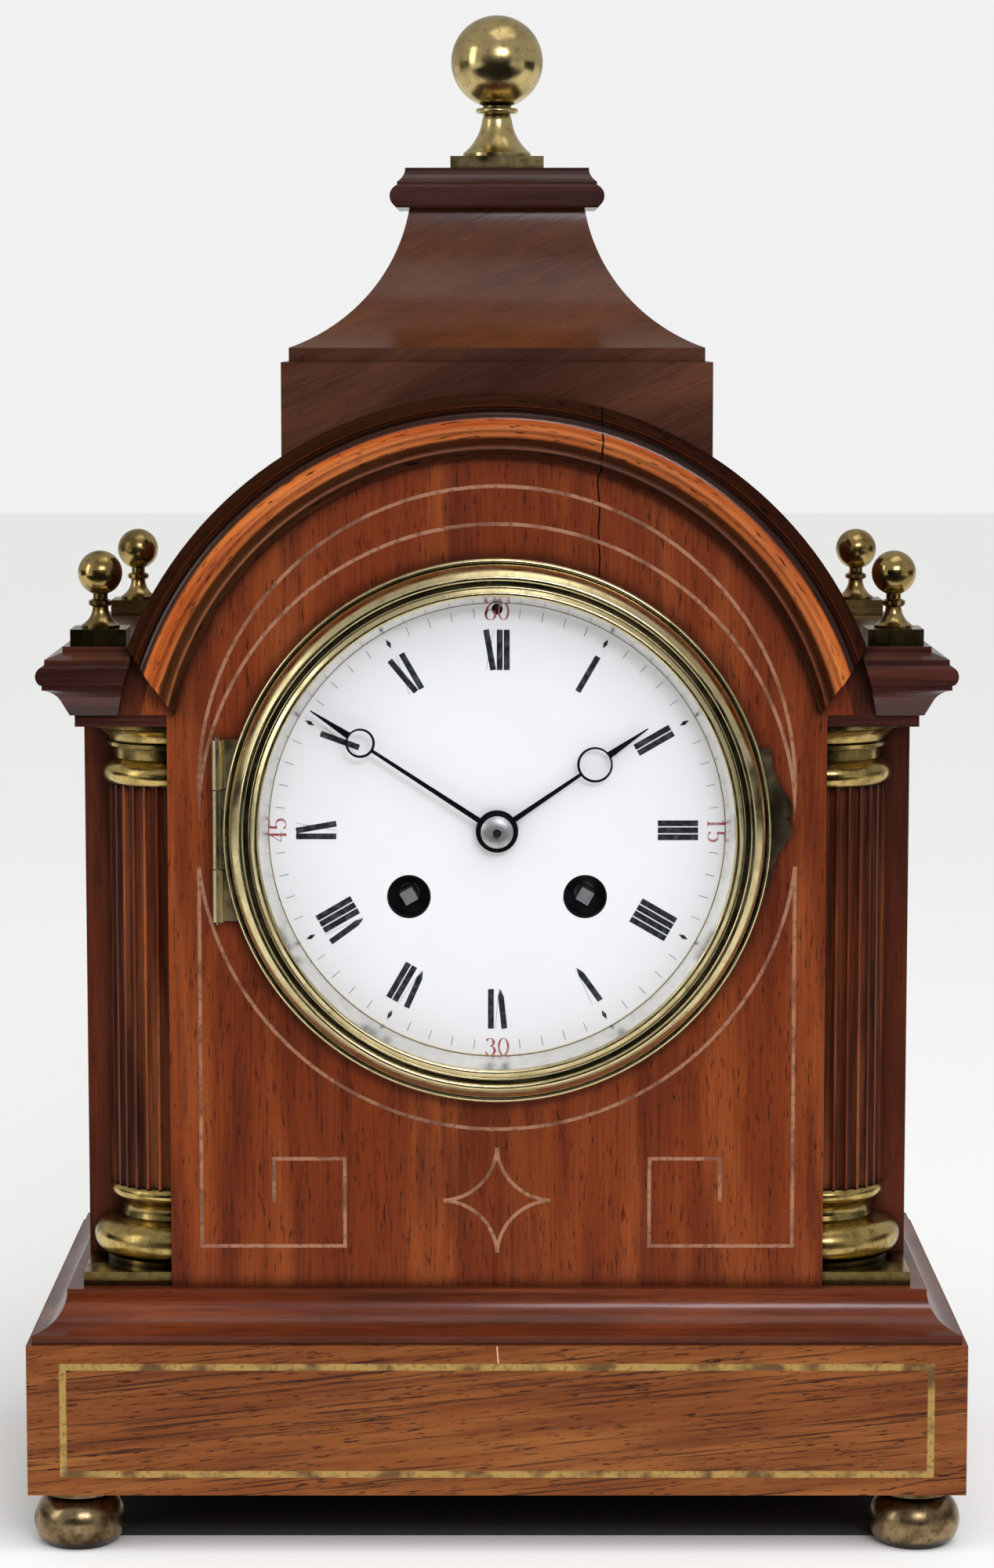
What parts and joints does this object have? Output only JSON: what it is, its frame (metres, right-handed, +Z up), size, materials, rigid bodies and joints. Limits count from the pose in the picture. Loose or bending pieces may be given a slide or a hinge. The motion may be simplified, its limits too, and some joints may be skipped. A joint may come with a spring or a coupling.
{
  "type": "bracket clock",
  "caption": "Arched wooden bracket clock with a caddy top, corner columns, brass ball finials and feet, a hinged bezel over a round dial, and a striking spring movement.",
  "frame": {"origin": "centre of the footprint on the surface that the clock stands on", "axes": "+Z up, the dial faces -Y, +X to the right seen from the front"},
  "size_m": [0.258, 0.156, 0.423],
  "materials": {
    "mahogany": "french polished",
    "oak_inside": "waxed",
    "brass": "lacquered, tarnished",
    "inlaid_brass": "worn flush",
    "silvered_brass": "polished",
    "bell_metal": "turned",
    "polished_steel": "polished",
    "blued_steel": "blued",
    "white_enamel": "glossy",
    "glass": "clear"
  },
  "bodies": {
    "case": {"bun_feet": "brass", "base_plinth": "mahogany", "base_stringing": "inlaid_brass", "base_cove_moulding": "mahogany", "floor_board": "oak_inside", "side_panel_left": "mahogany", "side_panel_right": "mahogany", "front_panel": "mahogany", "panel_stringing": "inlaid_brass", "back_board": "oak_inside", "arch_roof": "mahogany", "arch_moulding": "mahogany", "side_cornices": "mahogany", "corner_columns": "mahogany", "column_bases": "brass", "capitals": "brass", "abaci": "mahogany", "caddy_block": "mahogany", "caddy_bell": "mahogany", "caddy_cap": "mahogany", "top_finial": "brass", "corner_finials": "brass", "dial_flange": "brass", "hinge_pins": "polished_steel", "enamel_dial": "white_enamel", "front_plate": "brass", "back_plate": "brass", "plate_pillars": "brass", "movement_straps": "brass", "strap_screws": "polished_steel", "rear_ring": "brass", "suspension_cock": "brass", "bell": "bell_metal", "bell_post": "brass"},
    "bezel": {"bezel_ring": "brass", "bezel_glass": "glass", "sight_ring": "silvered_brass", "bezel_thumb_tab": "brass"},
    "back_door": {"rear_door": "brass"},
    "minute": {"minute_hand": "blued_steel", "hand_collet": "polished_steel", "centre_arbor": "polished_steel"},
    "hour": {"hour_hand": "blued_steel", "hour_wheel": "brass"},
    "motion": {"motion_wheel": "brass"},
    "going_drum": {"going_barrel": "brass"},
    "going_key": {"going_winding_arbor": "polished_steel"},
    "intermediate": {"intermediate_wheel": "brass"},
    "third": {"third_wheel": "brass"},
    "escape": {"escape_wheel": "brass"},
    "rocker": {"anchor": "polished_steel"},
    "pendulum": {"pendulum_rod": "brass", "pendulum_bob": "brass"},
    "regulator": {"regulator_arbor": "polished_steel"},
    "strike_drum": {"strike_barrel": "brass"},
    "strike_key": {"strike_winding_arbor": "polished_steel"},
    "strike_second": {"strike_second_wheel": "brass"},
    "strike_pin": {"pin_wheel": "brass"},
    "air_brake": {"fly": "brass"},
    "striker": {"hammer": "polished_steel"}
  },
  "joints": [
    {"name": "bezel_hinge", "type": "hinge", "parent": "case", "child": "bezel", "pos_m": [-0.076, -0.067, 0.199], "axis": [0, 0, -1], "range_deg": [0, 110]},
    {"name": "back_door_hinge", "type": "hinge", "parent": "case", "child": "back_door", "pos_m": [0.076, 0.068, 0.199], "axis": [0, 0, -1], "range_deg": [0, 115]},
    {"name": "minute_turn", "type": "hinge", "parent": "case", "child": "minute", "pos_m": [0, -0.044, 0.199], "axis": [0, 1, 0], "continuous": true},
    {"name": "hour_turn", "type": "hinge", "parent": "case", "child": "hour", "pos_m": [0, -0.059, 0.199], "axis": [0, 1, 0], "continuous": true},
    {"name": "motion_turn", "type": "hinge", "parent": "case", "child": "motion", "pos_m": [0, -0.056, 0.187], "axis": [0, 1, 0], "continuous": true},
    {"name": "intermediate_turn", "type": "hinge", "parent": "case", "child": "intermediate", "pos_m": [0.01737, -0.034, 0.20374], "axis": [0, 1, 0], "continuous": true},
    {"name": "going_drum_turn", "type": "hinge", "parent": "case", "child": "going_drum", "pos_m": [0.0241, -0.034, 0.1807], "axis": [0, 1, 0], "continuous": true},
    {"name": "third_turn", "type": "hinge", "parent": "case", "child": "third", "pos_m": [0, -0.034, 0.2134], "axis": [0, 1, 0], "continuous": true},
    {"name": "escape_turn", "type": "hinge", "parent": "case", "child": "escape", "pos_m": [0, -0.034, 0.227], "axis": [0, 1, 0], "continuous": true},
    {"name": "going_winding", "type": "hinge", "parent": "case", "child": "going_key", "pos_m": [0.0241, -0.034, 0.1807], "axis": [0, 1, 0], "continuous": true},
    {"name": "strike_winding", "type": "hinge", "parent": "case", "child": "strike_key", "pos_m": [-0.0241, -0.034, 0.1807], "axis": [0, 1, 0], "continuous": true},
    {"name": "pendulum_swing", "type": "hinge", "parent": "case", "child": "pendulum", "pos_m": [0, -0.008, 0.24], "axis": [0, 1, 0], "range_deg": [-3, 3]},
    {"name": "anchor_rock", "type": "hinge", "parent": "case", "child": "rocker", "pos_m": [0, -0.034, 0.24], "axis": [0, 1, 0], "range_deg": [-3, 3]},
    {"name": "regulator_turn", "type": "hinge", "parent": "case", "child": "regulator", "pos_m": [0, -0.034, 0.2595], "axis": [0, 1, 0], "continuous": true},
    {"name": "strike_run", "type": "hinge", "parent": "case", "child": "strike_pin", "pos_m": [-0.02042, -0.034, 0.21944], "axis": [0, 1, 0], "continuous": true},
    {"name": "strike_second_turn", "type": "hinge", "parent": "case", "child": "strike_second", "pos_m": [-0.01737, -0.034, 0.20374], "axis": [0, 1, 0], "continuous": true},
    {"name": "strike_drum_turn", "type": "hinge", "parent": "case", "child": "strike_drum", "pos_m": [-0.0241, -0.034, 0.1807], "axis": [0, 1, 0], "continuous": true},
    {"name": "fly_turn", "type": "hinge", "parent": "case", "child": "air_brake", "pos_m": [-0.03099, -0.039, 0.228], "axis": [0, 1, 0], "continuous": true},
    {"name": "hammer_lift", "type": "hinge", "parent": "case", "child": "striker", "pos_m": [-0.038, -0.014, 0.207], "axis": [0, 1, 0], "range_deg": [-16, 2.3]}
  ],
  "couplings": [
    {"joint": "hour_turn", "follows": "minute_turn", "ratio": 0.083333},
    {"joint": "motion_turn", "follows": "minute_turn", "ratio": -0.33333},
    {"joint": "intermediate_turn", "follows": "minute_turn", "ratio": -0.125},
    {"joint": "going_drum_turn", "follows": "minute_turn", "ratio": 0.017857},
    {"joint": "third_turn", "follows": "minute_turn", "ratio": -8},
    {"joint": "escape_turn", "follows": "minute_turn", "ratio": 60},
    {"joint": "anchor_rock", "follows": "pendulum_swing", "ratio": 1},
    {"joint": "strike_second_turn", "follows": "strike_run", "ratio": -0.14286},
    {"joint": "strike_drum_turn", "follows": "strike_run", "ratio": 0.020408},
    {"joint": "fly_turn", "follows": "strike_run", "ratio": -7.5}
  ]
}
